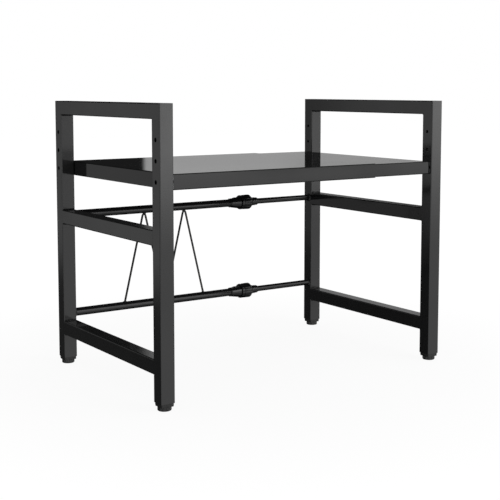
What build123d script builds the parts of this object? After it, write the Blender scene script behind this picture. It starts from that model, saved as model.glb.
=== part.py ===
from build123d import *
import os
from math import acos, atan2, cos, radians, sin

os.makedirs("parts", exist_ok=True)

# An extending worktop shelf: two square-tube side frames, a two-piece sheet
# steel tray that slides in on itself, and two telescoping rods with twist
# locks across the back. Millimetres, +X to the right seen from the front,
# +Y to the back, +Z up. The origin is on the floor at the middle.

# Overall size at the width the shelf is set to
WIDTH = 526.0
DEPTH = 340.0
HEIGHT = 428.0

# Square tube of the side frames
TUBE = 22.0
TUBE_WALL = 1.0
TUBE_BORE_CORNER = 0.5

# Heights of the rails' centre lines
MIDDLE_RAIL_Z = 242.0
BOTTOM_RAIL_Z = 60.5

# Height adjustment holes in every post
HOLE_LOW_Z = 320.0
HOLE_PITCH = 29.0
HOLE_COUNT = 3
SHELF_LEVEL = 0
OUTER_HOLE = 6.4

# Shelf screws and the nuts welded behind the posts' inner walls
SCREW = 5.0
SCREW_LENGTH = 8.0
SCREW_HEAD = 9.5
SCREW_HEAD_HEIGHT = 3.0
SCREW_HEAD_ROUND = 1.2
SCREW_HOLE_GAP = 0.5
CROSS_SPAN = 5.0
CROSS_WIDTH = 1.1
CROSS_DEPTH = 1.6
NUT_ACROSS_FLATS = 8.0
NUT_HEIGHT = 4.0
THREAD_GAP = 0.05

# Tray pieces of folded sheet
TRAY_SETBACK = 3.0
TRAY_HEIGHT = 22.5
TRAY_SCREW_DROP = 11.0
TRAY_SHEET = 0.8
TRAY_BEND = 0.8
TRAY_LIP = 12.0
TRAY_NOTCH = 1.65
TRAY_SLIDE_GAP = 0.25
OUTER_TRAY_LENGTH = 365.7
INNER_TRAY_LENGTH = 281.0

# Telescoping rods across the back
UPPER_ROD_Z = 244.0
LOWER_ROD_Z = 82.6
ROD_INSET = 13.4
INNER_ROD = 10.0
ROD_WALL = 1.2
TELESCOPE_GAP = 0.5
OUTER_ROD_LENGTH = 329.3
INNER_ROD_LENGTH = 281.0
WELD_LEG = 1.6
GUIDE_CAP = 4.0
GUIDE_SPIGOT = 10.0
RUN_GAP = 0.1
GUIDE_GAP = 0.06

# Twist lock: the body pressed on the outer tube, with a thumb grip notched into its cone
LOCK_SOCKET = 25.5
LOCK_RING = 1.2
LOCK_RING_WALL = 1.25
LOCK_GROOVE = 0.8
LOCK_GROOVE_WALL = 0.5
LOCK_CONE = 18.2
LOCK_CONE_START_WALL = 1.2
LOCK_CONE_END_WALL = 4.2
LOCK_SPIGOT = 9.0
LOCK_SPIGOT_WALL = 3.9
LOCK_FINGER = 5.0
LOCK_FINGER_WALL = 2.2
LOCK_SLOT = 1.2
LOCK_EDGE_ROUND = 0.4
GRIP_NOTCHES = ((3.4, 8.9, 0.75), (12.0, 18.0, 1.35))  # from, to, wall left under the floor
GRIP_END_NOTCH = 1.4
GRIP_END_WALL = 2.95
GRIP_LEAN = {"upper": 24.0, "lower": 0.0}

# Twist lock: the nut that turns on it
LOCK_NUT_GAP = 1.2
LOCK_NUT_START = 25.6
LOCK_NUT_GROOVE_START = 4.2
LOCK_NUT_GROOVE = 1.8
LOCK_NUT_GROOVE_DEPTH = 1.0
LOCK_NUT_NOTCH_START = 2.8
LOCK_NUT_NOTCH = 3.8
LOCK_NUT_NOTCH_WALL = 1.2
LOCK_NUT = 26.5
LOCK_NUT_RIM = 19.4
LOCK_NUT_SHOULDER = 6.4
LOCK_NECK = 12.3
LOCK_NECK_ROOT = 14.2
LOCK_NECK_SWELL = 13.8
LOCK_NECK_TIP = 12.6
LOCK_FLUTES = 12
LOCK_FLUTE = 3.0
LOCK_FLUTE_DEPTH = 0.7

# Bent wire between the rods
WIRE = 3.5
WIRE_START = 91.6
WIRE_PITCH = 79.0
WIRE_WAVES = 2
WIRE_BEND = 2.8
WELD_GAP = 0.05

# Feet: ribbed plug in the tube's end, threaded stud and round pad
PAD = 20.2
PAD_HEIGHT = 5.8
PAD_ROUND = 1.6
PAD_FLOOR = 1.5
PAD_GAP = 0.2
PAD_FLUTES = 10
PAD_FLUTE = 3.6
PAD_FLUTE_DEPTH = 0.7
FLANGE_HEIGHT = 5.0
FLANGE = 20.6
FLANGE_CORNER = 2.0
FLANGE_TAPER = 6.0
PLUG_HEIGHT = 20.0
PLUG_CORE = 14.0
PLUG_FIN = 1.2
PLUG_FINS = 4
PLUG_GAP = 0.1
STUD = 6.0
STUD_REACH = 18.0
STUD_CHAMFER = 0.6

# Worked out from the sizes above
TUBE_BORE = TUBE - 2 * TUBE_WALL
TUBE_CORNER = TUBE_BORE_CORNER + TUBE_WALL
INNER_X = WIDTH / 2 - TUBE
POST_X = WIDTH / 2 - TUBE / 2
POST_Y = DEPTH / 2 - TUBE / 2
ROD_Y = DEPTH / 2 - ROD_INSET
FLANGE_Z = PAD_HEIGHT + PAD_GAP
POST_FOOT_Z = FLANGE_Z + FLANGE_HEIGHT
HOLE_HEIGHTS = [HOLE_LOW_Z + HOLE_PITCH * i for i in range(HOLE_COUNT)]
SCREW_Z = HOLE_HEIGHTS[SHELF_LEVEL]
SCREW_HOLE = SCREW + SCREW_HOLE_GAP
TRAY_DEPTH = DEPTH - 2 * TRAY_SETBACK
TRAY_TOP_Z = SCREW_Z + TRAY_SCREW_DROP
TRAY_INSET = TRAY_SHEET + TRAY_SLIDE_GAP
INNER_ROD_R = INNER_ROD / 2
OUTER_ROD_BORE_R = INNER_ROD_R + TELESCOPE_GAP
OUTER_ROD_R = OUTER_ROD_BORE_R + ROD_WALL
OUTER_ROD_END = OUTER_ROD_LENGTH - INNER_X

SIDES = {"left": -1, "right": 1}
ENDS = {"front": -1, "rear": 1}
RODS = {"upper": UPPER_ROD_Z, "lower": LOWER_ROD_Z}


def side_plane(x, facing):
    """An upright plane at x: local x runs along Y, local y is up, the normal is along X."""
    return Plane(origin=(x, 0, 0), x_dir=(0, facing, 0), z_dir=(facing, 0, 0))


def along_x(x, y, z):
    """A plane square to a rod at (x, y, z), its normal along +X."""
    return Plane(origin=(x, y, z), x_dir=(0, 1, 0), z_dir=(1, 0, 0))


def radial_plane(x, z, turn):
    """A plane that holds a rod's axis: local x runs along it, local y points out at `turn` from up."""
    a = radians(turn)
    return Plane(origin=(x, ROD_Y, z), x_dir=(1, 0, 0), z_dir=(0, -cos(a), sin(a)))


def leaning_plane(x, z, lean):
    """A plane that holds a rod's axis, its normal up and leaning back by `lean`."""
    return Plane(origin=(x, ROD_Y, z), x_dir=(1, 0, 0), z_dir=(0, sin(radians(lean)), cos(radians(lean))))


def tube_section(plane):
    """The square tube's section, a rounded square ring."""
    with BuildSketch(plane) as section:
        RectangleRounded(TUBE, TUBE, TUBE_CORNER)
        RectangleRounded(TUBE_BORE, TUBE_BORE, TUBE_BORE_CORNER, mode=Mode.SUBTRACT)
    return section.sketch


def mitre_plane(sx, sy):
    """The 45 degree plane where a post meets the top rail."""
    return Plane(origin=(sx * POST_X, sy * DEPTH / 2, HEIGHT), z_dir=(0, -sy, 1))


# Posts, mitred at the top and drilled through for the shelf
for side, sx in SIDES.items():
    for end, sy in ENDS.items():
        holes = [(sx * sy * POST_Y, z) for z in HOLE_HEIGHTS]
        back_holes = [(-sx * sy * POST_Y, z) for z in HOLE_HEIGHTS]
        with BuildPart() as post:
            extrude(tube_section(Plane(origin=(sx * POST_X, sy * POST_Y, POST_FOOT_Z))),
                    amount=HEIGHT - POST_FOOT_Z)
            split(bisect_by=mitre_plane(sx, sy), keep=Keep.BOTTOM)
            with BuildSketch(side_plane(sx * WIDTH / 2, sx)):
                with Locations(*holes):
                    Circle(OUTER_HOLE / 2)
            extrude(amount=-TUBE / 2, mode=Mode.SUBTRACT)
            with BuildSketch(side_plane(sx * INNER_X, -sx)):
                with Locations(*back_holes):
                    Circle(SCREW_HOLE / 2)
            extrude(amount=-TUBE / 2, mode=Mode.SUBTRACT)
        post.part.label = f"{side}_{end}_post"
        export_step(post.part, f"parts/{side}_{end}_post.step")

# Top rails, mitred to the posts at both ends
for side, sx in SIDES.items():
    with BuildPart() as top_rail:
        start = Plane(origin=(sx * POST_X, -DEPTH / 2, HEIGHT - TUBE / 2), x_dir=(1, 0, 0), z_dir=(0, 1, 0))
        extrude(tube_section(start), amount=DEPTH)
        split(bisect_by=mitre_plane(sx, ENDS["front"]), keep=Keep.TOP)
        split(bisect_by=mitre_plane(sx, ENDS["rear"]), keep=Keep.TOP)
    top_rail.part.label = f"{side}_top_rail"
    export_step(top_rail.part, f"parts/{side}_top_rail.step")

# Middle and bottom rails, cut square and butted between the posts
for side, sx in SIDES.items():
    for level, rail_z in {"middle": MIDDLE_RAIL_Z, "bottom": BOTTOM_RAIL_Z}.items():
        with BuildPart() as rail:
            start = Plane(origin=(sx * POST_X, TUBE - DEPTH / 2, rail_z), x_dir=(1, 0, 0), z_dir=(0, 1, 0))
            extrude(tube_section(start), amount=DEPTH - 2 * TUBE)
        rail.part.label = f"{side}_{level}_rail"
        export_step(rail.part, f"parts/{side}_{level}_rail.step")

# Tray pieces: a folded channel with lips under the long edges and one end
# folded down against the posts. The right one is smaller all round and
# slides inside the left one.
for name, sx, length, inset in (
    ("outer_tray", SIDES["left"], OUTER_TRAY_LENGTH, 0.0),
    ("inner_tray", SIDES["right"], INNER_TRAY_LENGTH, TRAY_INSET),
):
    tray_depth = TRAY_DEPTH - 2 * inset
    tray_height = TRAY_HEIGHT - 2 * inset
    top = TRAY_TOP_Z - inset
    end_x = sx * INNER_X
    end_fold_depth = tray_depth - 2 * (TRAY_SHEET + TRAY_BEND)
    with BuildPart() as tray:
        with BuildSketch(side_plane(end_x - sx * TRAY_NOTCH, -sx)):
            with Locations((0, top - tray_height / 2)):
                RectangleRounded(tray_depth, tray_height, TRAY_BEND + TRAY_SHEET)
                RectangleRounded(tray_depth - 2 * TRAY_SHEET, tray_height - 2 * TRAY_SHEET,
                                 TRAY_BEND, mode=Mode.SUBTRACT)
            with Locations((0, top - tray_height)):
                Rectangle(tray_depth - 2 * TRAY_LIP, tray_height, mode=Mode.SUBTRACT)
        extrude(amount=length - TRAY_NOTCH)
        with BuildSketch(Plane.XZ) as end_fold:
            with BuildLine():
                FilletPolyline(
                    (end_x - 2 * sx * TRAY_NOTCH, top - TRAY_SHEET / 2),
                    (end_x - sx * TRAY_SHEET / 2, top - TRAY_SHEET / 2),
                    (end_x - sx * TRAY_SHEET / 2, top - tray_height),
                    radius=TRAY_BEND + TRAY_SHEET / 2,
                )
            trace(line_width=TRAY_SHEET)
        extrude(amount=end_fold_depth / 2, both=True)
        with BuildSketch(side_plane(end_x, -sx)):
            with Locations((POST_Y, SCREW_Z), (-POST_Y, SCREW_Z)):
                Circle(SCREW_HOLE / 2)
        extrude(amount=TRAY_SHEET, mode=Mode.SUBTRACT)
    tray.part.label = name
    export_step(tray.part, f"parts/{name}.step")

# Shelf screws, put in from under the tray with their heads inside its end
# fold, and the hexagon nuts that they screw into behind each post's inner wall
for side, sx in SIDES.items():
    with BuildPart() as screws:
        for sy in ENDS.values():
            seat = Plane(origin=(sx * (INNER_X - TRAY_SHEET), sy * POST_Y, SCREW_Z),
                         x_dir=(0, 1, 0), z_dir=(-sx, 0, 0))
            with BuildSketch(seat):
                Circle(SCREW_HEAD / 2)
            extrude(amount=SCREW_HEAD_HEIGHT)
            crown = screws.edges().filter_by(GeomType.CIRCLE).group_by(Axis.X)[0 if sx > 0 else -1]
            fillet(crown.group_by(Axis.Y)[0 if sy < 0 else -1], SCREW_HEAD_ROUND)
            with BuildSketch(seat.offset(SCREW_HEAD_HEIGHT)):
                Rectangle(CROSS_SPAN, CROSS_WIDTH)
                Rectangle(CROSS_WIDTH, CROSS_SPAN)
            extrude(amount=-CROSS_DEPTH, mode=Mode.SUBTRACT)
            with BuildSketch(seat):
                Circle(SCREW / 2)
            extrude(amount=-SCREW_LENGTH)
    screws.part.label = f"{side}_shelf_screws"
    export_step(screws.part, f"parts/{side}_shelf_screws.step")

    with BuildPart() as nuts:
        with BuildSketch(side_plane(sx * (INNER_X + TUBE_WALL), sx)):
            with Locations(*[(y, z) for y in (-POST_Y, POST_Y) for z in HOLE_HEIGHTS]):
                RegularPolygon(NUT_ACROSS_FLATS / 2, 6, major_radius=False)
                Circle(SCREW / 2 + THREAD_GAP, mode=Mode.SUBTRACT)
        extrude(amount=NUT_HEIGHT)
    nuts.part.label = f"{side}_weld_nuts"
    export_step(nuts.part, f"parts/{side}_weld_nuts.step")

# Rods: the outer tube is welded to the left rear post, the inner tube to the
# right rear post, and a plastic guide keeps the inner tube's end central
for level, rod_z in RODS.items():
    outer_start = along_x(-INNER_X, ROD_Y, rod_z)
    with BuildPart() as outer_tube:
        with BuildSketch(outer_start):
            Circle(OUTER_ROD_R)
        extrude(amount=OUTER_ROD_LENGTH)
        with Locations(outer_start):
            Cone(OUTER_ROD_R + WELD_LEG, OUTER_ROD_R, WELD_LEG, align=(Align.CENTER, Align.CENTER, Align.MIN))
        with BuildSketch(outer_start):
            Circle(OUTER_ROD_BORE_R)
        extrude(amount=OUTER_ROD_LENGTH, mode=Mode.SUBTRACT)
    outer_tube.part.label = f"{level}_outer_tube"
    export_step(outer_tube.part, f"parts/{level}_outer_tube.step")

    inner_start = along_x(INNER_X - INNER_ROD_LENGTH, ROD_Y, rod_z)
    inner_end = along_x(INNER_X - WELD_LEG, ROD_Y, rod_z)
    with BuildPart() as inner_tube:
        with BuildSketch(inner_start):
            Circle(INNER_ROD_R)
        extrude(amount=INNER_ROD_LENGTH)
        with Locations(inner_end):
            Cone(INNER_ROD_R, INNER_ROD_R + WELD_LEG, WELD_LEG, align=(Align.CENTER, Align.CENTER, Align.MIN))
        with BuildSketch(inner_start):
            Circle(INNER_ROD_R - ROD_WALL)
        extrude(amount=INNER_ROD_LENGTH, mode=Mode.SUBTRACT)
    inner_tube.part.label = f"{level}_inner_tube"
    export_step(inner_tube.part, f"parts/{level}_inner_tube.step")

    with BuildPart() as guide:
        with BuildSketch(inner_start):
            Circle(OUTER_ROD_BORE_R - GUIDE_GAP)
        extrude(amount=-GUIDE_CAP)
        with BuildSketch(inner_start):
            Circle(INNER_ROD_R - ROD_WALL - GUIDE_GAP)
        extrude(amount=GUIDE_SPIGOT)
    guide.part.label = f"{level}_tube_guide"
    export_step(guide.part, f"parts/{level}_tube_guide.step")

# Twist lock bodies: a socket over the outer tube's end, a cone with flat-floored
# grip notches across its top, and a slotted spigot that closes on the inner tube.
# The grip leans back by its own angle on each rod.
lock_x = OUTER_ROD_END - LOCK_SOCKET
cone_start = LOCK_RING + LOCK_GROOVE
cone_end = cone_start + LOCK_CONE
spigot_end = cone_end + LOCK_SPIGOT
finger_end = spigot_end + LOCK_FINGER
socket_r = OUTER_ROD_R + WELD_GAP
slide_r = INNER_ROD_R + RUN_GAP
cone_start_r = socket_r + LOCK_CONE_START_WALL
cone_end_r = socket_r + LOCK_CONE_END_WALL
spigot_r = slide_r + LOCK_SPIGOT_WALL
finger_r = slide_r + LOCK_FINGER_WALL
grip_notches = [*GRIP_NOTCHES, (cone_end - GRIP_END_NOTCH, cone_end, GRIP_END_WALL)]
for level, rod_z in RODS.items():
    rod_axis = Axis((lock_x, ROD_Y, rod_z), (1, 0, 0))
    with BuildPart() as lock_body:
        with BuildSketch(radial_plane(lock_x, rod_z, 0)) as half_section:
            with BuildLine():
                Polyline(
                    (0, socket_r),
                    (0, socket_r + LOCK_RING_WALL),
                    (LOCK_RING, socket_r + LOCK_RING_WALL),
                    (LOCK_RING, socket_r + LOCK_GROOVE_WALL),
                    (cone_start, socket_r + LOCK_GROOVE_WALL),
                    (cone_start, cone_start_r),
                    (cone_end, cone_end_r),
                    (cone_end, spigot_r),
                    (spigot_end, spigot_r),
                    (finger_end, finger_r),
                    (finger_end, slide_r),
                    (LOCK_SOCKET, slide_r),
                    (LOCK_SOCKET, socket_r),
                    close=True,
                )
            make_face()
            corners = half_section.vertices().group_by(Axis.X)
            ring_corners = [corners[0].sort_by(Axis.Y)[-1], corners[1].sort_by(Axis.Y)[-1]]
            cone_corner = half_section.vertices().sort_by(Axis.Y)[-1]
            fillet(ring_corners + [cone_corner], LOCK_EDGE_ROUND)
        revolve(axis=rod_axis)
        for start, end, wall in grip_notches:
            with BuildSketch(leaning_plane(lock_x, rod_z, GRIP_LEAN[level]).offset(socket_r + wall)):
                with Locations(((start + end) / 2, 0)):
                    Rectangle(end - start, 2 * cone_end_r)
            extrude(amount=cone_end_r, mode=Mode.SUBTRACT)
        with BuildSketch(along_x(lock_x + finger_end, ROD_Y, rod_z)):
            Rectangle(2 * spigot_r, LOCK_SLOT)
            Rectangle(LOCK_SLOT, 2 * spigot_r)
        extrude(amount=-(LOCK_SPIGOT + LOCK_FINGER) / 2, mode=Mode.SUBTRACT)
    lock_body.part.label = f"{level}_lock_body"
    export_step(lock_body.part, f"parts/{level}_lock_body.step")

# Twist lock nuts: a fluted rim with a groove round it and a notch in line with the
# body's, a sloping shoulder and a neck round the inner tube
nut_x = lock_x + cone_end + LOCK_NUT_GAP
groove_end = LOCK_NUT_GROOVE_START + LOCK_NUT_GROOVE
groove_r = LOCK_NUT_START / 2 - LOCK_NUT_GROOVE_DEPTH
shoulder_end = LOCK_NUT_RIM + LOCK_NUT_SHOULDER
neck_end = shoulder_end + LOCK_NECK
thread_end = LOCK_SPIGOT
taper_end = thread_end + LOCK_FINGER
for level, rod_z in RODS.items():
    nut_start = along_x(nut_x, ROD_Y, rod_z)
    with BuildPart() as lock_nut:
        with BuildSketch(radial_plane(nut_x, rod_z, 0)) as half_section:
            with BuildLine():
                Polyline((neck_end, LOCK_NECK_TIP / 2), (neck_end, slide_r), (taper_end, slide_r),
                         (taper_end, finger_r + RUN_GAP), (thread_end, spigot_r + RUN_GAP),
                         (0, spigot_r + RUN_GAP), (0, LOCK_NUT_START / 2),
                         (LOCK_NUT_GROOVE_START, LOCK_NUT_START / 2), (LOCK_NUT_GROOVE_START, groove_r),
                         (groove_end, groove_r), (groove_end, LOCK_NUT_START / 2),
                         (LOCK_NUT_RIM, LOCK_NUT / 2), (shoulder_end, LOCK_NECK_ROOT / 2))
                ThreePointArc((shoulder_end, LOCK_NECK_ROOT / 2),
                              (shoulder_end + LOCK_NECK / 2, LOCK_NECK_SWELL / 2),
                              (neck_end, LOCK_NECK_TIP / 2))
            make_face()
            by_height = half_section.vertices().group_by(Axis.Y)
            fillet(by_height[-1] + by_height[-2], LOCK_EDGE_ROUND)
        revolve(axis=Axis(nut_start.origin, (1, 0, 0)))
        with BuildSketch(nut_start):
            flute_circle = LOCK_NUT / 2 + LOCK_FLUTE / 2 - LOCK_FLUTE_DEPTH
            with PolarLocations(flute_circle, LOCK_FLUTES):
                Circle(LOCK_FLUTE / 2)
        extrude(amount=LOCK_NUT_RIM, mode=Mode.SUBTRACT)
        notch_floor = spigot_r + RUN_GAP + LOCK_NUT_NOTCH_WALL
        with BuildSketch(leaning_plane(nut_x, rod_z, GRIP_LEAN[level]).offset(notch_floor)):
            with Locations((LOCK_NUT_NOTCH_START + LOCK_NUT_NOTCH / 2, 0)):
                Rectangle(LOCK_NUT_NOTCH, LOCK_NUT)
        extrude(amount=LOCK_NUT / 2, mode=Mode.SUBTRACT)
    lock_nut.part.label = f"{level}_lock_nut"
    export_step(lock_nut.part, f"parts/{level}_lock_nut.step")

# Zigzag wire: one wire bent to and fro in the rods' plane. Its bends touch
# the upper rod from below and the lower rod from above, and its two ends are
# cut to the lower rod's round. The legs lean so that each is tangent to a
# bend at both of its ends, and each bend's corner point lies where two legs meet.
wire_low = LOWER_ROD_Z + OUTER_ROD_R + WELD_GAP + WIRE / 2
wire_high = UPPER_ROD_Z - OUTER_ROD_R - WELD_GAP - WIRE / 2
bend_rise = (wire_high - WIRE_BEND) - (wire_low + WIRE_BEND)
bend_apart = (bend_rise**2 + (WIRE_PITCH / 2) ** 2) ** 0.5
leg_lean = acos(2 * WIRE_BEND / bend_apart) - atan2(bend_rise, WIRE_PITCH / 2)
corner_reach = WIRE_BEND / sin(leg_lean) - WIRE_BEND
wire_points = [(WIRE_START - INNER_X, LOWER_ROD_Z)]
for bend in range(1, 2 * WIRE_WAVES):
    corner_z = wire_high + corner_reach if bend % 2 else wire_low - corner_reach
    wire_points.append((WIRE_START - INNER_X + WIRE_PITCH / 2 * bend, corner_z))
wire_points.append((WIRE_START - INNER_X + WIRE_PITCH * WIRE_WAVES, LOWER_ROD_Z))
rod_plane = Plane(origin=(0, ROD_Y, 0), x_dir=(1, 0, 0), z_dir=(0, -1, 0))
with BuildPart() as zigzag_wire:
    with BuildLine(rod_plane) as wire_path:
        FilletPolyline(*wire_points, radius=WIRE_BEND)
    with BuildSketch(Plane(origin=wire_path.line @ 0, z_dir=wire_path.line % 0)):
        Circle(WIRE / 2)
    sweep()
    with BuildSketch(along_x(-INNER_X, ROD_Y, LOWER_ROD_Z)):
        Circle(OUTER_ROD_R + WELD_GAP)
    extrude(amount=OUTER_ROD_LENGTH, mode=Mode.SUBTRACT)
zigzag_wire.part.label = "zigzag_wire"
export_step(zigzag_wire.part, "parts/zigzag_wire.step")

# Feet, one under each post
fin_pitch = (PLUG_HEIGHT - PLUG_FIN) / PLUG_FINS
for side, sx in SIDES.items():
    for end, sy in ENDS.items():
        foot_x, foot_y = sx * POST_X, sy * POST_Y
        with BuildPart() as end_plug:
            with BuildSketch(Plane(origin=(foot_x, foot_y, POST_FOOT_Z), z_dir=(0, 0, -1))):
                RectangleRounded(FLANGE, FLANGE, FLANGE_CORNER)
            extrude(amount=FLANGE_HEIGHT, taper=FLANGE_TAPER)
            with BuildSketch(Plane(origin=(foot_x, foot_y, POST_FOOT_Z))):
                Circle(PLUG_CORE / 2)
            extrude(amount=PLUG_HEIGHT)
            for fin in range(1, PLUG_FINS + 1):
                with BuildSketch(Plane(origin=(foot_x, foot_y, POST_FOOT_Z + fin * fin_pitch))):
                    RectangleRounded(TUBE_BORE - 2 * PLUG_GAP, TUBE_BORE - 2 * PLUG_GAP, TUBE_BORE_CORNER)
                extrude(amount=PLUG_FIN)
            with BuildSketch(Plane(origin=(foot_x, foot_y, FLANGE_Z))):
                Circle(STUD / 2 + THREAD_GAP)
            extrude(amount=FLANGE_HEIGHT + PLUG_HEIGHT, mode=Mode.SUBTRACT)
        end_plug.part.label = f"{side}_{end}_end_plug"
        export_step(end_plug.part, f"parts/{side}_{end}_end_plug.step")

        with BuildPart() as foot_stud:
            with BuildSketch(Plane(origin=(foot_x, foot_y, PAD_FLOOR + PAD_GAP))):
                Circle(STUD / 2)
            extrude(amount=POST_FOOT_Z + STUD_REACH - PAD_FLOOR - PAD_GAP)
            chamfer(foot_stud.edges().filter_by(GeomType.CIRCLE), STUD_CHAMFER)
        foot_stud.part.label = f"{side}_{end}_foot_stud"
        export_step(foot_stud.part, f"parts/{side}_{end}_foot_stud.step")

        with BuildPart() as foot_pad:
            with BuildSketch(Plane(origin=(foot_x, foot_y, 0))):
                Circle(PAD / 2)
            extrude(amount=PAD_HEIGHT)
            fillet(foot_pad.edges().group_by(Axis.Z)[0], PAD_ROUND)
            with BuildSketch(Plane(origin=(foot_x, foot_y, 0))):
                with PolarLocations(PAD / 2 + PAD_FLUTE / 2 - PAD_FLUTE_DEPTH, PAD_FLUTES):
                    Circle(PAD_FLUTE / 2)
            extrude(amount=PAD_HEIGHT, mode=Mode.SUBTRACT)
            with BuildSketch(Plane(origin=(foot_x, foot_y, PAD_FLOOR))):
                Circle(STUD / 2 + THREAD_GAP)
            extrude(amount=PAD_HEIGHT - PAD_FLOOR, mode=Mode.SUBTRACT)
        foot_pad.part.label = f"{side}_{end}_foot_pad"
        export_step(foot_pad.part, f"parts/{side}_{end}_foot_pad.step")
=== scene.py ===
import math

import bmesh
import bpy
import numpy as np
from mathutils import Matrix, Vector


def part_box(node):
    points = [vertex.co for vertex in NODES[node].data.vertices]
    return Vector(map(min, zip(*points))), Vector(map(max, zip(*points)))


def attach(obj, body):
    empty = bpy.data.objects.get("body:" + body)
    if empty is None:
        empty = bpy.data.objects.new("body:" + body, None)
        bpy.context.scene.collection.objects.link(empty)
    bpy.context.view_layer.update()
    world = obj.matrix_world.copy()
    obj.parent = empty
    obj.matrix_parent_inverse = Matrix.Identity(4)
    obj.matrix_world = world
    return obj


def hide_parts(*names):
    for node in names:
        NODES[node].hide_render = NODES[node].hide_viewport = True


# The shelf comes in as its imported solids, standing on z = 0 with its front toward -Y.
# Every size below is in metres, and MM turns a size in millimetres into metres.
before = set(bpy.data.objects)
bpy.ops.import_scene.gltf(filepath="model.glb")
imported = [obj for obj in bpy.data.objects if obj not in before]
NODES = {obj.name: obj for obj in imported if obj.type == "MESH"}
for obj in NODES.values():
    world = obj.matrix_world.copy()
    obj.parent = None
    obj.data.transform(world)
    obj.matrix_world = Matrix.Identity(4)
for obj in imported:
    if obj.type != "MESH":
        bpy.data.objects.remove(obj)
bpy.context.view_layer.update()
MM = 0.001


# Side frames. Each is a ladder of 22 mm square steel tube, saw cut and welded, then
# powder coated: a satin black with a fine orange peel and a faint drift of gloss.
SIDES = ("left", "right")
FRAME_TUBES = ("front_post", "rear_post", "top_rail", "middle_rail", "bottom_rail")
COAT_TONES = ((0.0120, 0.0122, 0.0127), (0.0155, 0.0157, 0.0162))
COAT_GLOSS = (0.09, 0.13)
COAT_CLOUD = 60 * MM
COAT_PEEL = 1.3 * MM
COAT_PEEL_RISE = 0.006 * MM
COAT_IOR = 1.5


def drift(tree, place, size, low, high, detail=2.0):
    """A value that wanders from low to high: 3-D noise with features `size` metres across."""
    noise = tree.nodes.new("ShaderNodeTexNoise")
    noise.inputs["Scale"].default_value = 1 / size
    noise.inputs["Detail"].default_value = detail
    tree.links.new(place, noise.inputs["Vector"])
    spread = tree.nodes.new("ShaderNodeMapRange")
    for name, value in (("From Min", 0.3), ("From Max", 0.7), ("To Min", low), ("To Max", high)):
        spread.inputs[name].default_value = value
    tree.links.new(noise.outputs["Fac"], spread.inputs["Value"])
    return spread.outputs["Result"]


def finish(name, tones, gloss, cloud, grain, rise, ior=1.5, metal=0.0):
    """A surface finish. Its colour drifts between two tones and its roughness between two
    values over clouds `cloud` metres across, under a bumpy grain `grain` metres across
    and `rise` metres high."""
    material = bpy.data.materials.new(name)
    material.use_nodes = True
    tree = material.node_tree
    shader = tree.nodes["Principled BSDF"]
    shader.inputs["IOR"].default_value = ior
    shader.inputs["Metallic"].default_value = metal
    place = tree.nodes.new("ShaderNodeTexCoord").outputs["Object"]
    blend = tree.nodes.new("ShaderNodeMix")
    blend.data_type = "RGBA"
    blend.inputs["A"].default_value = (*tones[0], 1)
    blend.inputs["B"].default_value = (*tones[1], 1)
    tree.links.new(drift(tree, place, cloud, 0, 1), blend.inputs["Factor"])
    tree.links.new(blend.outputs["Result"], shader.inputs["Base Color"])
    tree.links.new(drift(tree, place, 0.7 * cloud, *gloss), shader.inputs["Roughness"])
    bump = tree.nodes.new("ShaderNodeBump")
    bump.inputs["Strength"].default_value = 1
    bump.inputs["Distance"].default_value = rise
    tree.links.new(drift(tree, place, grain, 0, 1, 1.5), bump.inputs["Height"])
    tree.links.new(bump.outputs["Normal"], shader.inputs["Normal"])
    return material


def dress(material, *names):
    """Puts a finish on CAD nodes."""
    for name in names:
        NODES[name].material_slots[0].material = material


powder_coat = finish("powder_coat", COAT_TONES, COAT_GLOSS, COAT_CLOUD, COAT_PEEL, COAT_PEEL_RISE,
                     COAT_IOR)
dress(powder_coat, *[f"{side}_{tube}" for side in SIDES for tube in FRAME_TUBES])


# Weld beads of the side frames. The rails' ends are welded to the posts: a bead lies in
# each inner corner, under the paint, and the joints on the outer and inner faces are
# filled and ground flush. One bead, under the left middle rail, is fuller than the rest.
BEAD_LEG = 1.9 * MM
FULL_BEAD = (4.2 * MM, 6.6 * MM)
BEAD_SWELL = 0.20
BEAD_RIPPLE = 0.07
BEAD_RIPPLE_PITCH = 1.7 * MM
BEAD_LAG = 0.35
BEAD_SUNK = 0.08 * MM
TUBE_CORNER = 1.5 * MM
SEAM_WIDTH = 1.25 * TUBE_CORNER
SEAM_DEPTH = 1.3 * MM
SEAM_FLUSH = 0.03 * MM
SEAM_SHORT = 0.6 * TUBE_CORNER
CHANCE = np.random.default_rng(7)


def piece(name, grids, material, body, ring=False):
    """One piece made of grids of points, each (rows, columns, 3). The columns run round
    the form and close on themselves. The rows close too in a ring, or else end in a
    point or in a rim that is filled flat."""
    points, faces, first = [], [], 0
    for grid in grids:
        rows, columns = grid.shape[:2]
        down = np.arange(rows if ring else rows - 1)[:, None]
        across = np.arange(columns)[None, :]
        below, beside = (down + 1) % rows, (across + 1) % columns
        quads = np.stack([down * columns + across, down * columns + beside,
                          below * columns + beside, below * columns + across], -1)
        faces += (quads.reshape(-1, 4) + first).tolist()
        if not ring:
            rim = np.arange(columns)
            faces += [(rim[::-1] + first).tolist(), (rim + first + (rows - 1) * columns).tolist()]
        points.append(grid.reshape(-1, 3))
        first += rows * columns
    mesh = bpy.data.meshes.new(name)
    mesh.from_pydata(np.concatenate(points).tolist(), [], faces)
    work = bmesh.new()
    work.from_mesh(mesh)
    bmesh.ops.remove_doubles(work, verts=work.verts, dist=1e-7)
    bmesh.ops.dissolve_degenerate(work, edges=work.edges, dist=1e-7)
    bmesh.ops.recalc_face_normals(work, faces=work.faces)
    work.to_mesh(mesh)
    work.free()
    mesh.materials.append(material)
    mesh.shade_smooth()
    made = bpy.data.objects.new(name, mesh)
    bpy.context.scene.collection.objects.link(made)
    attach(made, body)
    return made


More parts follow.
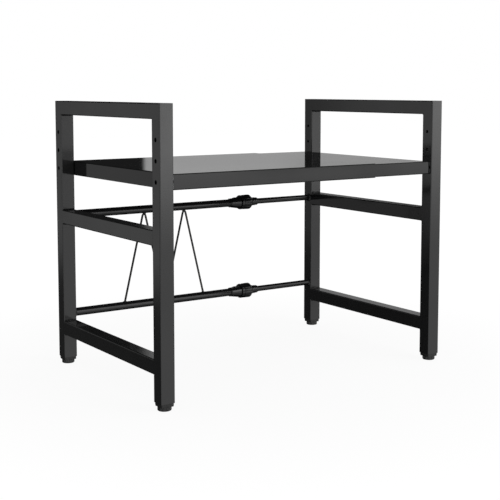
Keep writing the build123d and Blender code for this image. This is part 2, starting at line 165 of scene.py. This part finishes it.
def corner_bead(start, run, toe_a, toe_b):
    """A weld bead in the corner between two faces, from `start` along `run`. Seen along
    it, the skin goes from one toe to the other: the straight line between them in polar
    form, swelled by a half sine. Along it the radius carries a sine ripple that lags
    behind at the toes, as a welder's crescents do, two slow random waves, and a
    superellipse that draws both ends in to the corner."""
    along = np.linspace(0, 1, 90)[:, None]
    turn = np.linspace(0, math.pi / 2, 13)[None, :]
    leg_a, leg_b = np.linalg.norm(toe_a), np.linalg.norm(toe_b)
    chord = 1 / (np.cos(turn) / leg_a + np.sin(turn) / leg_b)
    swell = 1 + BEAD_SWELL * np.sin(2 * turn)
    lag = BEAD_LAG * np.cos(2 * turn) ** 2
    length = np.linalg.norm(run)
    ripple = 1 + BEAD_RIPPLE * np.sin(2 * math.pi * (along * length / BEAD_RIPPLE_PITCH + lag))
    slow, quick = CHANCE.uniform(0, 2 * math.pi, 2)
    wander = 1 + 0.06 * np.sin(7 * along + slow) + 0.04 * np.sin(19 * along + quick)
    ends = np.sqrt(1 - np.abs(2 * along - 1) ** 14)
    radius = (chord * swell * ripple * wander * ends)[..., None]
    face_a, face_b = toe_a / leg_a, toe_b / leg_b
    spine = start - BEAD_SUNK * (face_a + face_b) + along[..., None] * run
    skin = spine + radius * (np.cos(turn)[..., None] * face_a + np.sin(turn)[..., None] * face_b)
    return np.concatenate([skin, spine], 1)


def flush_seam(x, y, z_low, z_high, out, away):
    """A ground weld: it fills the groove that a post's round edge leaves beside a rail's
    square end, as a flat-topped wedge up the joint. `out` points out of the frame's
    face along X and `away` from the post along Y."""
    outline = np.array([(-SEAM_FLUSH, -SEAM_WIDTH), (-SEAM_FLUSH, 0.3 * SEAM_WIDTH),
                        (-SEAM_DEPTH, 0.1 * SEAM_WIDTH), (-SEAM_DEPTH, -0.3 * SEAM_WIDTH)])
    heights = np.linspace(z_low, z_high, 4)
    grid = np.empty((len(heights), len(outline), 3))
    grid[..., 0] = x + out * outline[:, 0]
    grid[..., 1] = y + away * outline[:, 1]
    grid[..., 2] = heights[:, None]
    return grid


for side in SIDES:
    beads, seams = [], []
    for rail in ("top_rail", "middle_rail", "bottom_rail"):
        low, high = (np.array(corner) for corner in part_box(f"{side}_{rail}"))
        run = np.array([high[0] - low[0] - TUBE_CORNER, 0, 0])
        for end in ("front", "rear"):
            post_low, post_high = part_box(f"{side}_{end}_post")
            away = 1 if end == "front" else -1
            joint_y = post_high[1] if end == "front" else post_low[1]
            levels = [(low[2], -1)] if rail == "top_rail" else [(low[2], -1), (high[2], 1)]
            for z, up in levels:
                full = (side, rail, end, up) == ("left", "middle_rail", "front", -1)
                leg_y, leg_z = FULL_BEAD if full else (BEAD_LEG, BEAD_LEG)
                start = np.array([low[0] + TUBE_CORNER / 2, joint_y, z])
                beads.append(corner_bead(start, run, np.array([0, away * leg_y, 0]),
                                         np.array([0, 0, up * leg_z])))
            if rail != "top_rail":
                for x, out in ((low[0], -1), (high[0], 1)):
                    seams.append(flush_seam(x, joint_y, low[2] + SEAM_SHORT,
                                            high[2] - SEAM_SHORT, out, away))
    piece(f"{side}_weld_beads", beads, powder_coat, f"{side}_half")
    ground = piece(f"{side}_ground_seams", seams, powder_coat, f"{side}_half")
    ground.data.shade_flat()


# Shelf trays. Two pieces of 0.8 mm sheet, folded down along their long edges and one
# end and painted a smoother black than the frames, with a wider orange peel.
TRAY_TONES = ((0.0100, 0.0101, 0.0104), (0.0125, 0.0126, 0.0130))
TRAY_GLOSS = (0.05, 0.08)
TRAY_CLOUD = 90 * MM
TRAY_PEEL = 2.2 * MM
TRAY_PEEL_RISE = 0.004 * MM
TRAY_IOR = 1.36
tray_coat = finish("tray_coat", TRAY_TONES, TRAY_GLOSS, TRAY_CLOUD, TRAY_PEEL, TRAY_PEEL_RISE, TRAY_IOR)
dress(tray_coat, "outer_tray", "inner_tray")


# Shelf fasteners. Four M5 pan head screws with a cross recess, blackened, go up from
# inside the tray's end folds into nuts that are welded behind the posts' inner walls.
SCREW_TONES = ((0.030, 0.029, 0.028), (0.055, 0.052, 0.048))
SCREW_GLOSS = (0.26, 0.36)
PLATE_TONES = ((0.54, 0.54, 0.52), (0.66, 0.65, 0.60))
PLATE_GLOSS = (0.24, 0.34)
black_screw = finish("black_screw", SCREW_TONES, SCREW_GLOSS, 3 * MM, 0.4 * MM, 0.004 * MM, metal=1.0)
plated_steel = finish("plated_steel", PLATE_TONES, PLATE_GLOSS, 4 * MM, 0.5 * MM, 0.005 * MM, metal=1.0)
dress(black_screw, *[f"{side}_shelf_screws" for side in SIDES])
dress(plated_steel, *[f"{side}_weld_nuts" for side in SIDES])


# Rear rods. Two telescoping pairs of round tube, painted with the frames but glossier,
# each welded at its post with a bead all round, and a plastic guide on the inner tube.
RODS = ("upper", "lower")
ROD_TONES = ((0.0095, 0.0096, 0.0100), (0.0125, 0.0126, 0.0130))
ROD_GLOSS = (0.12, 0.16)
RING_LEG = 2.2 * MM
RING_RIPPLES = 22
PLASTIC_TONES = ((0.014, 0.014, 0.014), (0.019, 0.019, 0.019))
PLASTIC_GLOSS = (0.42, 0.52)
PLASTIC_IOR = 1.49
rod_coat = finish("rod_coat", ROD_TONES, ROD_GLOSS, 40 * MM, 1.1 * MM, 0.005 * MM)
black_plastic = finish("black_plastic", PLASTIC_TONES, PLASTIC_GLOSS, 12 * MM, 0.35 * MM, 0.012 * MM,
                       PLASTIC_IOR)
dress(rod_coat, *[f"{level}_{tube}_tube" for level in RODS for tube in ("outer", "inner")])
dress(black_plastic, *[f"{level}_tube_guide" for level in RODS])


def ring_bead(x, facing, rod_y, rod_z, rod_radius):
    """A weld bead round a rod where it meets a post. Its section is a corner bead's, from
    a toe along the rod to a toe up the post's face, and it goes once round the rod
    while the ripple's sine makes a whole number of turns."""
    section = np.linspace(0, math.pi / 2, 11)[:, None]
    turn = np.linspace(0, 2 * math.pi, 176, endpoint=False)[None, :]
    swell = 1 + BEAD_SWELL * np.sin(2 * section)
    lag = BEAD_LAG * np.cos(2 * section) ** 2
    ripple = 1 + BEAD_RIPPLE * np.sin(RING_RIPPLES * turn + 2 * math.pi * lag)
    wander = 1 + 0.05 * np.sin(2 * turn + CHANCE.uniform(0, 6)) + 0.03 * np.sin(5 * turn)
    reach = RING_LEG * swell * ripple * wander / (np.cos(section) + np.sin(section))
    along = np.concatenate([reach * np.cos(section), np.zeros_like(turn)]) - BEAD_SUNK
    radius = np.concatenate([reach * np.sin(section), np.zeros_like(turn)]) + rod_radius - BEAD_SUNK
    return np.stack([x + facing * along, rod_y + radius * np.cos(turn),
                     rod_z + radius * np.sin(turn)], -1)


def rod_axis(node):
    """Where a rod's axis is, from the middle of its node's box: (y, z)."""
    low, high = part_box(node)
    return (low[1] + high[1]) / 2, (low[2] + high[2]) / 2


OUTER_ROD = 6.7 * MM
INNER_ROD = 5.0 * MM
inner_face = {side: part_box(f"{side}_rear_post")[1 if side == "left" else 0][0] for side in SIDES}
for side, tube, radius, facing in (("left", "outer", OUTER_ROD, 1), ("right", "inner", INNER_ROD, -1)):
    rings = []
    for level in RODS:
        rod_y, rod_z = rod_axis(f"{level}_{tube}_tube")
        rings.append(ring_bead(inner_face[side], facing, rod_y, rod_z, radius))
    piece(f"{side}_rod_welds", rings, rod_coat, f"{side}_half", ring=True)


# Twist lock bodies. A moulded black socket on the outer tube's end: a narrow ring, a
# groove, then a smooth cone with a thumb grip: flat-floored notches across its top. The
# grip of the lower lock faces up and that of the upper one is turned toward the back.
LOCK_TONES = ((0.0075, 0.0076, 0.0080), (0.0105, 0.0106, 0.0110))
LOCK_GLOSS = (0.10, 0.14)
LOCK_RING = 1.2 * MM
LOCK_RING_R = 8.0 * MM
LOCK_GROOVE = 0.8 * MM
LOCK_GROOVE_R = 7.25 * MM
LOCK_CONE = 18.2 * MM
LOCK_CONE_R = (7.95 * MM, 10.95 * MM)
LOCK_SPIGOT = 9.0 * MM
LOCK_FINGERS = 5.0 * MM
LOCK_SPIGOT_R = (9.0 * MM, 7.3 * MM)
LOCK_BORE = 25.5 * MM
LOCK_BORE_R = (OUTER_ROD + 0.05 * MM, INNER_ROD + 0.1 * MM)
LOCK_ROUND = 0.4 * MM
NOTCHES = (  # from, to, height of the floor over the rod's axis
    (3.4 * MM, 8.9 * MM, 7.5 * MM),
    (12.0 * MM, 18.0 * MM, 8.1 * MM),
    (18.8 * MM, 20.4 * MM, 9.7 * MM),
)
NOTCH_TURN = {"upper": math.radians(24), "lower": 0.0}
NOTCH_EDGE = 0.12 * MM
STEP_EDGE = 0.14 * MM
lock_plastic = finish("lock_plastic", LOCK_TONES, LOCK_GLOSS, 9 * MM, 0.6 * MM, 0.004 * MM, PLASTIC_IOR)


def step(value, at, edge):
    """A smooth step from 0 to 1 where value passes `at`: a half tanh, about 4 edges wide."""
    return 0.5 + 0.5 * np.tanh((value - at) / edge)


def soft_less(a, b, edge):
    """The lesser of two values with the corner between them rounded over about `edge`."""
    return 0.5 * (a + b - np.sqrt((a - b) ** 2 + edge**2))


def turned(along, radius, turn, x, axis):
    """Points of a form turned about a rod: radius at each distance along it and each turn
    from straight up toward the back."""
    along = np.broadcast_to(along, np.broadcast_shapes(np.shape(radius), np.shape(turn)))
    return np.stack([x + along, axis[0] + radius * np.sin(turn), axis[1] + radius * np.cos(turn)], -1)


def notched(radius, along, turn, notches, faces):
    """A turned form with flat-floored notches across it: between two smooth steps along
    the rod, the lesser of the radius and a plane's polar form, floor / cos of the turn."""
    facing = np.clip(np.cos(turn - faces), 0.05, 1)
    for begin, end, floor in notches:
        cut = step(along, begin, STEP_EDGE) * (1 - step(along, end, STEP_EDGE))
        radius = radius + (soft_less(radius, floor / facing, NOTCH_EDGE) - radius) * cut
    return radius


def round_ends(radius, along, length):
    """A radius drawn in at both ends by a quarter round of LOCK_ROUND."""
    for face in (along, length - along):
        inside = np.clip(1 - face / LOCK_ROUND, 0, 1)
        radius = radius - LOCK_ROUND * (1 - np.sqrt(1 - inside**2))
    return radius


def fine_near(length, spots, coarse, fine, reach):
    """Distances from 0 to length: `coarse` apart, but `fine` apart within `reach` of each
    spot, where the form changes."""
    parts = [np.arange(0, length, coarse), [0.0, length]]
    parts += [np.arange(spot - reach, spot + reach, fine) for spot in spots]
    every = np.unique(np.clip(np.concatenate(parts), 0, length).round(7))
    return every[np.concatenate([[True], np.diff(every) > 0.2 * fine])]


def lock_body_form(x, axis, faces):
    """The body's skin: the ring, the groove and the cone as one radius along the rod, with
    smooth steps between them, the notches and quarter-round ends. The rows go on over the
    spigot and its tapered fingers, and back through the two bores."""
    cone_start = LOCK_RING + LOCK_GROOVE
    length = cone_start + LOCK_CONE
    spots = [0, LOCK_RING, cone_start, length]
    for begin, end, _ in NOTCHES:
        spots += [begin, end]
    along = fine_near(length, spots, 0.5 * MM, 0.06 * MM, 0.6 * MM)[:, None]
    turn = np.linspace(0, 2 * math.pi, 200, endpoint=False)[None, :]
    cone = np.interp(along, (cone_start, length), LOCK_CONE_R)
    past_ring = step(along, LOCK_RING, STEP_EDGE)
    past_groove = step(along, cone_start, STEP_EDGE)
    radius = (LOCK_RING_R + (LOCK_GROOVE_R - LOCK_RING_R) * past_ring
              + (cone - LOCK_GROOVE_R) * past_groove)
    radius = round_ends(notched(radius, along, turn, NOTCHES, faces), along, length)
    skin = turned(along, radius, turn, x, axis)
    spigot, tip = length + LOCK_SPIGOT, length + LOCK_SPIGOT + LOCK_FINGERS
    thick, thin = LOCK_SPIGOT_R
    wide, narrow = LOCK_BORE_R
    hidden = [(length, thick), (spigot, thick), (tip, thin), (tip, narrow),
              (LOCK_BORE, narrow), (LOCK_BORE, wide), (0, wide)]
    along, radius = (np.array(values)[:, None] for values in zip(*hidden))
    return np.concatenate([skin, turned(along, radius, turn, x, axis)])


# Twist lock nuts. The ring that is turned by hand to close the body's fingers on the
# inner tube: a fluted rim with a groove round it and one notch in line with the body's,
# a sloping shoulder and a ribbed neck.
NUT_RIM = 19.4 * MM
NUT_RIM_R = (12.8 * MM, 13.25 * MM)
NUT_GROOVE = (4.2 * MM, 6.0 * MM)
NUT_GROOVE_R = 11.8 * MM
NUT_NOTCH = (2.8 * MM, 6.6 * MM, 10.3 * MM)
NUT_SHOULDER = 6.4 * MM
NUT_NECK = 12.3 * MM
NUT_NECK_R = (7.1 * MM, 6.9 * MM, 6.3 * MM)
NUT_BORE_R = INNER_ROD + 0.1 * MM
NECK_RIBS = 3
NECK_RIB_RISE = 0.35 * MM
FLUTES = 12
FLUTE_R = 1.5 * MM
FLUTE_DEPTH = 0.7 * MM
FLUTE_EDGE = 0.16 * MM
SHOULDER_EDGE = 0.5 * MM
NECK_EDGE = 0.3 * MM


def fluted(radius, turn, count, flute_r, depth, edge):
    """A round rim with grooves along it: the lesser of its radius and the near wall of
    a circle of radius flute_r whose middle stands outside the rim."""
    middle = radius + flute_r - depth
    apart = np.abs((turn + math.pi / count) % (2 * math.pi / count) - math.pi / count)
    aside = middle * np.sin(apart)
    wall = middle * np.cos(apart) - np.sqrt(np.clip(flute_r**2 - aside**2, 0, None))
    wall = np.where(aside < flute_r, wall, middle)
    return soft_less(radius, wall, edge)


def lock_nut_form(x, axis, faces):
    """The nut's skin: the fluted rim, widening straight and cut by a groove between two
    smooth steps, a shoulder sloping straight to the neck, and the neck's curve with a
    sine's ribs on it, blended by smooth steps, with both ends quarter round."""
    shoulder = NUT_RIM + NUT_SHOULDER
    length = shoulder + NUT_NECK
    spots = [0, *NUT_GROOVE, *NUT_NOTCH[:2], NUT_RIM, shoulder, length]
    along = fine_near(length, spots, 0.4 * MM, 0.08 * MM, 0.7 * MM)[:, None]
    turn = np.linspace(0, 2 * math.pi, 240, endpoint=False)[None, :]
    rim = np.interp(along, (NUT_GROOVE[1], NUT_RIM), NUT_RIM_R)
    flutes = fluted(NUT_RIM_R[1], turn, FLUTES, FLUTE_R, FLUTE_DEPTH, FLUTE_EDGE)
    rim = soft_less(rim, flutes, FLUTE_EDGE)
    cut = step(along, NUT_GROOVE[0], STEP_EDGE) * (1 - step(along, NUT_GROOVE[1], STEP_EDGE))
    rim = notched(rim + (NUT_GROOVE_R - rim) * cut, along, turn, [NUT_NOTCH], faces)
    slope = NUT_RIM_R[1] - (NUT_RIM_R[1] - NUT_NECK_R[0]) * (along - NUT_RIM) / NUT_SHOULDER
    share = np.clip((along - shoulder) / NUT_NECK, 0, 1)
    bow = NUT_NECK_R[1] - (NUT_NECK_R[0] + NUT_NECK_R[2]) / 2
    neck = NUT_NECK_R[0] + (NUT_NECK_R[2] - NUT_NECK_R[0]) * share + 4 * bow * share * (1 - share)
    neck = neck + NECK_RIB_RISE * np.sin(math.pi * NECK_RIBS * share) ** 2
    front = soft_less(rim, np.maximum(slope, neck), SHOULDER_EDGE)
    radius = front + (neck - front) * step(along, shoulder, NECK_EDGE)
    skin = turned(along, round_ends(radius, along, length), turn, x, axis)
    bore = turned(np.array([[length], [0.0]]), np.full((2, 1), NUT_BORE_R), turn, x, axis)
    return np.concatenate([skin, bore])


for level in RODS:
    axis = rod_axis(f"{level}_outer_tube")
    body_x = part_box(f"{level}_lock_body")[0][0]
    socket = lock_body_form(body_x, axis, NOTCH_TURN[level])
    made = piece(f"{level}_lock_socket", [socket], lock_plastic, "left_half", ring=True)
    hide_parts(f"{level}_lock_body")
    nut_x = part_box(f"{level}_lock_nut")[0][0]
    collar = lock_nut_form(nut_x, axis, NOTCH_TURN[level])
    made = piece(f"{level}_lock_collar", [collar], lock_plastic, f"{level}_lock",
                 ring=True)
    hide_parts(f"{level}_lock_nut")


# Zigzag wire. A 3.5 mm wire bent to and fro between the outer tubes, tacked to them with a
# small weld at each bend and at its two cut ends, and painted with them.
WIRE_R = 1.75 * MM
WIRE_LEGS = 4
TACK = (3.6 * MM, 2.3 * MM, 1.15 * MM)
dress(rod_coat, "zigzag_wire")


def tack(x, y, z):
    """A small weld: an ellipsoid with a few low bumps, each a product of sines."""
    polar = np.linspace(0, math.pi, 15)[:, None]
    turn = np.linspace(0, 2 * math.pi, 28, endpoint=False)[None, :]
    lump, shift = CHANCE.uniform(0, 6, 2)
    radius = 1 + 0.08 * np.sin(3 * turn + lump) * np.sin(polar) + 0.05 * np.sin(4 * polar + shift)
    return np.stack([x + TACK[0] * radius * np.cos(polar) * np.ones_like(turn),
                     y + TACK[1] * radius * np.sin(polar) * np.cos(turn),
                     z + TACK[2] * radius * np.sin(polar) * np.sin(turn)], -1)


wire_low, wire_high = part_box("zigzag_wire")
leg_run = (wire_high[0] - wire_low[0] - 2 * WIRE_R) / WIRE_LEGS
wire_y = (wire_low[1] + wire_high[1]) / 2
tacks = []
for bend in range(WIRE_LEGS + 1):
    bend_x = wire_low[0] + WIRE_R + bend * leg_run
    bend_z = wire_high[2] if bend % 2 else wire_low[2]
    tacks.append(tack(bend_x, wire_y, bend_z))
piece("wire_tacks", tacks, rod_coat, "left_half")


# Feet. A ribbed black plug is pressed into each post's end. An M6 plated stud screws
# into it and turns with a round moulded pad, which is scalloped to be gripped.
STUD_R = 3.0 * MM
THREAD_PITCH = 1.0 * MM
THREAD_DEPTH = 0.58 * MM
THREAD_RUNOUT = 0.8 * MM
THREAD_ROWS = 14
PAD_R = 10.1 * MM
PAD_ROUND = 1.6 * MM
PAD_TOP_ROUND = 0.5 * MM
PAD_SCALLOPS = 10
PAD_SCALLOP_R = 1.8 * MM
PAD_SCALLOP_DEPTH = 0.7 * MM
PAD_SCALLOP_EDGE = 0.2 * MM
PAD_FLOOR = 1.5 * MM
PAD_BORE_R = STUD_R + 0.05 * MM
FEET = [f"{side}_{end}" for side in SIDES for end in ("front", "rear")]
dress(black_plastic, *[f"{foot}_end_plug" for foot in FEET])


def upright(radius, turn, z, centre):
    """Points turned about a foot's upright axis."""
    radius = np.broadcast_to(radius, np.broadcast_shapes(np.shape(radius), np.shape(turn)))
    z = np.broadcast_to(z, radius.shape)
    return np.stack([centre[0] + radius * np.cos(turn), centre[1] + radius * np.sin(turn), z], -1)


def threaded_stud(centre, low, high):
    """A metric thread: the radius is a rounded saw of height less turn, so each ridge
    climbs one pitch a turn, and the ridges sink into the root at both ends."""
    z = np.linspace(low, high, round((high - low) / THREAD_PITCH * THREAD_ROWS))[:, None]
    turn = np.linspace(0, 2 * math.pi, 36, endpoint=False)[None, :]
    phase = (z / THREAD_PITCH - turn / (2 * math.pi)) % 1
    ridge = np.clip(1.15 - 2.3 * np.abs(phase - 0.5), 0, 1)
    ends = np.clip(np.minimum(z - low, high - z) / THREAD_RUNOUT, 0, 1)
    return upright(STUD_R - THREAD_DEPTH + THREAD_DEPTH * ridge * ends, turn, z, centre)


def scalloped_pad(centre, height):
    """The pad's outline turned about its axis: a flat foot, a quarter round, the side, a
    small round, the top and the stud's bore, each row cut by the scallops."""
    low_arc = np.linspace(-math.pi / 2, 0, 10)
    high_arc = np.linspace(0, math.pi / 2, 6)
    outline = [(0, 0), (0.45 * PAD_R, 0)]
    outline += list(zip(PAD_R - PAD_ROUND + PAD_ROUND * np.cos(low_arc),
                        PAD_ROUND + PAD_ROUND * np.sin(low_arc)))
    outline += list(zip(PAD_R - PAD_TOP_ROUND + PAD_TOP_ROUND * np.cos(high_arc),
                        height - PAD_TOP_ROUND + PAD_TOP_ROUND * np.sin(high_arc)))
    outline += [(PAD_BORE_R, height), (PAD_BORE_R, PAD_FLOOR), (0, PAD_FLOOR)]
    radius, z = (np.array(values)[:, None] for values in zip(*outline))
    turn = np.linspace(0, 2 * math.pi, 180, endpoint=False)[None, :]
    waist = fluted(PAD_R, turn, PAD_SCALLOPS, PAD_SCALLOP_R, PAD_SCALLOP_DEPTH, PAD_SCALLOP_EDGE)
    outside = radius > PAD_BORE_R + 0.1 * MM
    radius = np.where(outside, soft_less(radius, waist, 0.1 * MM), radius)
    return upright(radius, turn, z, centre)


for foot in FEET:
    low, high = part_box(f"{foot}_foot_stud")
    centre = ((low[0] + high[0]) / 2, (low[1] + high[1]) / 2)
    stud = threaded_stud(centre, low[2], high[2])
    made = piece(f"{foot}_threaded_stud", [stud], plated_steel, f"{foot}_stud")
    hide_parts(f"{foot}_foot_stud")
    pad_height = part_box(f"{foot}_foot_pad")[1][2]
    pad = scalloped_pad(centre, pad_height)
    made = piece(f"{foot}_scalloped_pad", [pad], black_plastic, f"{foot}_pad")
    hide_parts(f"{foot}_foot_pad")


# Floor. A wide pale sheet that reads as white and keeps a faint soft shadow under the
# shelf. For the light that it throws back it is darker, so that it doesn't light the
# black paint from below, and what the paint mirrors is left to the studio's boards.
FLOOR_SIZE = 14.0
FLOOR_WHITE = 1.03
FLOOR_SHADOW = 0.10
FLOOR_SHADOW_REACH = (0.25, 0.95)
FLOOR_PALE = 0.9
FLOOR_BOUNCE = 0.30


def arithmetic(tree, operation, first, second=None):
    """The result of one Math node on sockets or numbers."""
    node = tree.nodes.new("ShaderNodeMath")
    node.operation = operation
    for socket, value in zip(node.inputs, (first, second)):
        if isinstance(value, (int, float)):
            socket.default_value = value
        elif value is not None:
            tree.links.new(value, socket)
    return node.outputs[0]


def mixed(tree, share, first, second):
    """One shader laid over another by a share from 0 to 1."""
    mix = tree.nodes.new("ShaderNodeMixShader")
    for socket, source in zip(mix.inputs, (share, first.outputs[0], second.outputs[0])):
        tree.links.new(source, socket)
    return mix


def floor_paint():
    """White light with a share of plain diffuse in it near the shelf, where shadows fall."""
    material = bpy.data.materials.new("floor_paint")
    material.use_nodes = True
    tree = material.node_tree
    tree.nodes.remove(tree.nodes["Principled BSDF"])
    reach = tree.nodes.new("ShaderNodeVectorMath")
    reach.operation = "LENGTH"
    tree.links.new(tree.nodes.new("ShaderNodeTexCoord").outputs["Object"], reach.inputs[0])
    near = tree.nodes.new("ShaderNodeMapRange")
    near.interpolation_type = "SMOOTHSTEP"
    near.inputs["From Min"].default_value, near.inputs["From Max"].default_value = FLOOR_SHADOW_REACH
    near.inputs["To Min"].default_value, near.inputs["To Max"].default_value = FLOOR_SHADOW, 0
    tree.links.new(reach.outputs["Value"], near.inputs["Value"])
    glow = tree.nodes.new("ShaderNodeEmission")
    glow.inputs["Strength"].default_value = FLOOR_WHITE
    pale, bounce = (tree.nodes.new("ShaderNodeBsdfDiffuse") for _ in range(2))
    for diffuse, grey in ((pale, FLOOR_PALE), (bounce, FLOOR_BOUNCE)):
        diffuse.inputs["Color"].default_value = (grey, grey, grey, 1)
    path = tree.nodes.new("ShaderNodeLightPath")
    seen = arithmetic(tree, "MAXIMUM", path.outputs["Is Camera Ray"],
                      path.outputs["Is Transmission Ray"])
    look = mixed(tree, near.outputs["Result"], glow, pale)
    paint = mixed(tree, seen, bounce, look)
    tree.links.new(paint.outputs[0], tree.nodes["Material Output"].inputs["Surface"])
    return material


floor_mesh = bpy.data.meshes.new("floor")
half = FLOOR_SIZE / 2
corners = [(-half, -half, 0), (half, -half, 0), (half, half, 0), (-half, half, 0)]
floor_mesh.from_pydata(corners, [], [(0, 1, 2, 3)])
floor_mesh.materials.append(floor_paint())
floor = bpy.data.objects.new("floor", floor_mesh)
bpy.context.scene.collection.objects.link(floor)
floor.visible_glossy = False


# Studio. Black paint shows what it mirrors: a dark room with pale boards, each a patch of
# sky with its brightness, which is negative for a gap in another, and its edges in
# degrees. Azimuth runs from the back toward the right, elevation from level.
BOARDS = {  # brightness, azimuth and elevation as (edge, softness, edge, softness), slant
    "left_panel": (0.47, (-33, 2, -22.5, 6.5), (-1.20, 1.1, 15, 2), -0.327),
    "left_far": (0.28, (-75, 3, -35, 2), (-8.2, 1.0, 2.8, 1.2), 0),
    "left_bright": (0.42, (-75, 3, -39.2, 2.2), (-4.95, 0.4, 2.8, 1.2), 0),
    "left_floor": (0.05, (-80, 4, -15, 4), (-32, 4, -7, 2), 0),
    "right_low": (0.42, (28.6, 0.15, 62, 1), (5.4, 1.0, 10.15, 0.45), 0.12),
    "right_lift": (0.12, (29.0, 0.6, 36.5, 1.0), (4.3, 0.6, 9.0, 1.0), 0),
    "right_high": (0.46, (28.6, 0.15, 62, 1), (9.6, 1.6, 17, 1), 0),
    "right_floor": (0.55, (38, 4, 100, 6), (-34, 5, -16, 3), 0),
    "right_side": (0.80, (68, 6, 115, 6), (-14, 3, 6, 2), 0),
    "front_floor": (1.12, (118, 40, 200, 8), (-26, 9, 1.0, 0.8), 0),
    "front_deep": (0.42, (118, 40, 200, 8), (-64, 12, -26, 9), 0),
    "side_floor": (1.12, (-200, 8, -80, 16), (-38, 14, 1.0, 0.8), 0),
    "front_glow": (1.80, (125, 6, 152.6, 1.6), (6.2, 3.2, 13.5, 1.0), 0.082),
    "glow_gap": (-1.80, (138.7, 1.2, 146.0, 1.6), (6.2, 3.2, 6.5, 0.3), 0.082),
    "glow_dip": (-1.25, (138.7, 1.2, 146.0, 1.6), (7.5, 0.5, 13.5, 1.0), 0.082),
    "glow_end": (-0.26, (134.0, 1.0, 139.5, 1.2), (6.0, 0.5, 9.5, 0.8), 0.082),
    "left_sky": (0.40, (-80, 10, -20, 10), (19, 5, 48, 5), 0),
    "front_sky": (1.70, (100, 8, 178, 8), (3.5, 2.5, 34, 6), 0),
    "sky_gap": (-1.70, (138.8, 1.2, 146.0, 1.6), (3.5, 2.5, 8.5, 1.5), 0),
    "cone_sky": (1.20, (160, 3, 178, 5), (4, 3, 42, 6), 0),
}
DARK_ROOM = 0.012
FILL = 0.38
BACKGROUND_SEEN = 1.0


def within(tree, value, edges):
    """1 where a value lies between two edges and 0 outside, with a smooth step at each."""
    product = None
    for edge, soft, rising in ((*edges[:2], 1), (*edges[2:], -1)):
        ramp = tree.nodes.new("ShaderNodeMapRange")
        ramp.interpolation_type = "SMOOTHSTEP"
        ramp.inputs["From Min"].default_value = edge - rising * soft
        ramp.inputs["From Max"].default_value = edge + rising * soft
        tree.links.new(value, ramp.inputs["Value"])
        if product is None:
            product = ramp.outputs["Result"]
            continue
        product = arithmetic(tree, "MULTIPLY", product, ramp.outputs["Result"])
    return product


def studio_world():
    """White for camera and transmission rays, the boards for glossy rays, and a dim even
    fill for the light that falls on the shelf."""
    world = bpy.data.worlds.new("studio")
    bpy.context.scene.world = world
    world.use_nodes = True
    tree = world.node_tree
    way = tree.nodes.new("ShaderNodeSeparateXYZ")
    tree.links.new(tree.nodes.new("ShaderNodeTexCoord").outputs["Generated"], way.inputs[0])
    bearing = arithmetic(tree, "ARCTAN2", way.outputs["X"], way.outputs["Y"])
    azimuth = arithmetic(tree, "DEGREES", bearing)
    elevation = arithmetic(tree, "DEGREES", arithmetic(tree, "ARCSINE", way.outputs["Z"]))
    mirrored = DARK_ROOM
    for brightness, azimuths, elevations, slant in BOARDS.values():
        slanted = arithmetic(tree, "ADD", elevation, arithmetic(tree, "MULTIPLY", azimuth, slant))
        patch = arithmetic(tree, "MULTIPLY", within(tree, azimuth, azimuths),
                           within(tree, slanted, elevations))
        patch = arithmetic(tree, "MULTIPLY", patch, brightness)
        mirrored = arithmetic(tree, "ADD", mirrored, patch)
    path = tree.nodes.new("ShaderNodeLightPath")
    strength = FILL
    for ray, level in (("Is Glossy Ray", mirrored), ("Is Transmission Ray", BACKGROUND_SEEN),
                       ("Is Camera Ray", BACKGROUND_SEEN)):
        choice = tree.nodes.new("ShaderNodeMix")
        tree.links.new(path.outputs[ray], choice.inputs["Factor"])
        for name, value in (("A", strength), ("B", level)):
            if isinstance(value, float):
                choice.inputs[name].default_value = value
            else:
                tree.links.new(value, choice.inputs[name])
        strength = choice.outputs["Result"]
    background = tree.nodes["Background"]
    background.inputs["Color"].default_value = (1, 1, 1, 1)
    tree.links.new(strength, background.inputs["Strength"])


def soft_box(name, place, aim, width, height, brightness):
    """A rectangular soft box whose face has the given brightness, where 1 is white."""
    light = bpy.data.lights.new(name, "AREA")
    light.shape = "RECTANGLE"
    light.size, light.size_y = width, height
    light.energy = brightness * math.pi * width * height
    lamp = bpy.data.objects.new(name, light)
    bpy.context.scene.collection.objects.link(lamp)
    lamp.location = place
    away = Vector(aim) - Vector(place)
    lamp.rotation_euler = away.to_track_quat("-Z", "Y").to_euler()
    lamp.visible_camera = False
    lamp.visible_glossy = False


studio_world()
soft_box("key_box", (1.05, -1.75, 0.62), (0, 0, 0.50), 1.7, 0.5, 7.0)
soft_box("top_box", (0.2, -0.3, 2.6), (0, 0, 0), 1.6, 1.6, 0.5)


# Camera. At the photograph's place: a long lens a little above the shelf's top, to its
# front left, lowered by a small vertical shift so that the posts stand upright.
CAMERA_PLACE = (-0.973, -1.429, 0.448)
SENSOR = 36.0
LENS = 76.76
YAW = 34.28
PITCH_DOWN = 5.45
LENS_DROP = -0.12
camera = bpy.data.objects.new("camera", bpy.data.cameras.new("camera"))
bpy.context.scene.collection.objects.link(camera)
bpy.context.scene.camera = camera
camera.location = CAMERA_PLACE
camera.rotation_euler = (math.radians(90 - PITCH_DOWN), 0, math.radians(-YAW))
camera.data.sensor_width = SENSOR
camera.data.lens = LENS
camera.data.shift_y = LENS_DROP
bpy.context.scene.view_settings.view_transform = "Standard"
